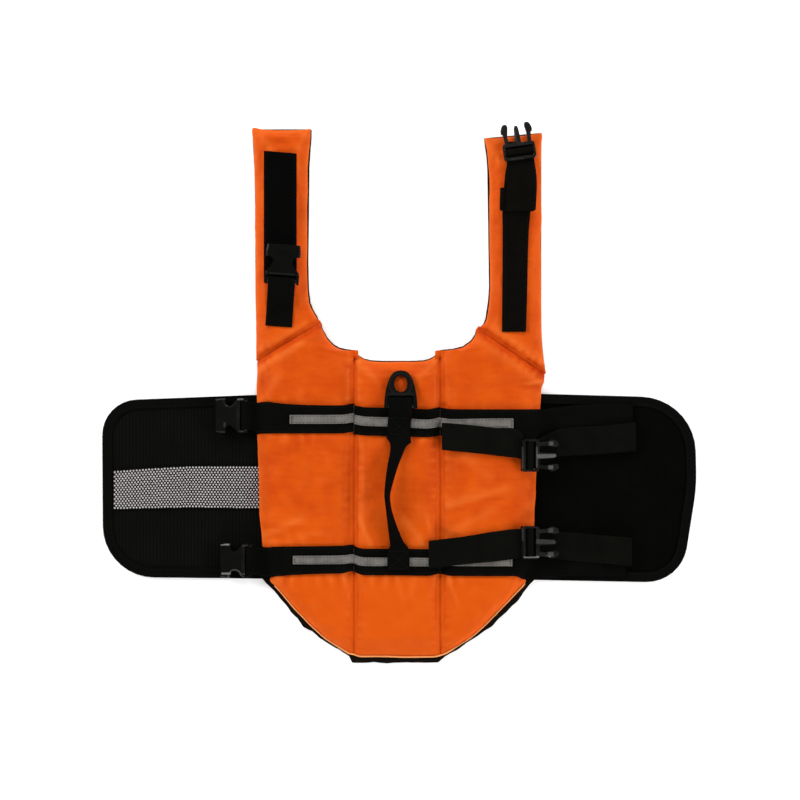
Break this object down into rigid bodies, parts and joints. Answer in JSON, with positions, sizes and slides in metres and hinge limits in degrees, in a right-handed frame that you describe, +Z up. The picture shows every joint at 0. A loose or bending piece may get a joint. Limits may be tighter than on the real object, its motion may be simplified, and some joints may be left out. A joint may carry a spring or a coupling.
{
  "type": "dog life jacket",
  "caption": "Dog life jacket laid flat: orange padded back with neck straps, black belly wings, webbing bands, side-release buckles, grab handle and lead ring.",
  "frame": {"origin": "on the flat underside of the back's lining, on the dog's spine line, midway between the two webbing bands", "axes": "+X towards the wing that carries the male buckles' straps, +Y towards the neck straps, +Z up out of the face that the jacket lies on"},
  "size_m": [0.5511, 0.5014, 0.033],
  "materials": {
    "shell_orange": "tightly woven bright orange polyester shell, matt with a soft sheen",
    "lining_black": "thin black lining mesh, matt",
    "webbing_black": "black woven webbing, fine ribs, matt",
    "tape_grey": "grey reflective tape, satin",
    "wing_black": "black brushed loop fabric, matt",
    "stripe_grey": "open mesh of light dots on black",
    "binding_black": "black ribbed binding tape",
    "plastic_black": "moulded black acetal, half gloss"
  },
  "bodies": {
    "jacket": {"back_left": "shell_orange", "back_middle": "shell_orange", "back_right": "shell_orange", "neck_left": "shell_orange", "neck_right": "shell_orange", "lining_back": "lining_black", "lining_neck_left": "lining_black", "lining_neck_right": "lining_black", "wing_left": "wing_black", "wing_right": "wing_black", "binding_left": "binding_black", "binding_right": "binding_black", "mesh_stripe": "stripe_grey", "band_upper": "webbing_black", "band_lower": "webbing_black", "tape_upper": "tape_grey", "tape_lower": "tape_grey", "strap_upper": "webbing_black", "strap_lower": "webbing_black", "patch_neck": "webbing_black", "web_neck_left": "webbing_black", "strap_neck_right": "webbing_black", "handle_web": "webbing_black", "plug_upper": "plastic_black", "plug_lower": "plastic_black", "plug_neck": "plastic_black"},
    "socket_upper_body": {"socket_upper": "plastic_black"},
    "socket_lower_body": {"socket_lower": "plastic_black"},
    "socket_neck_body": {"socket_neck": "plastic_black"},
    "lead_ring_body": {"lead_ring": "plastic_black"}
  },
  "joints": [
    {"name": "lead_ring_swing", "type": "hinge", "parent": "jacket", "child": "lead_ring_body", "pos_m": [0.0016, 0.0868, 0.0209], "axis": [1, 0, 0], "range_deg": [0, 150]},
    {"name": "socket_upper_swing", "type": "hinge", "parent": "jacket", "child": "socket_upper_body", "pos_m": [-0.143, 0.0782, 0.0096], "axis": [0, 1, 0], "range_deg": [0, 110]},
    {"name": "socket_lower_swing", "type": "hinge", "parent": "jacket", "child": "socket_lower_body", "pos_m": [-0.1384, -0.0563, 0.0096], "axis": [0, 1, 0], "range_deg": [0, 110]},
    {"name": "socket_neck_swing", "type": "hinge", "parent": "jacket", "child": "socket_neck_body", "pos_m": [-0.1083, 0.2025, 0.0198], "axis": [0.9976, -0.0698, 0], "range_deg": [0, 110]}
  ]
}
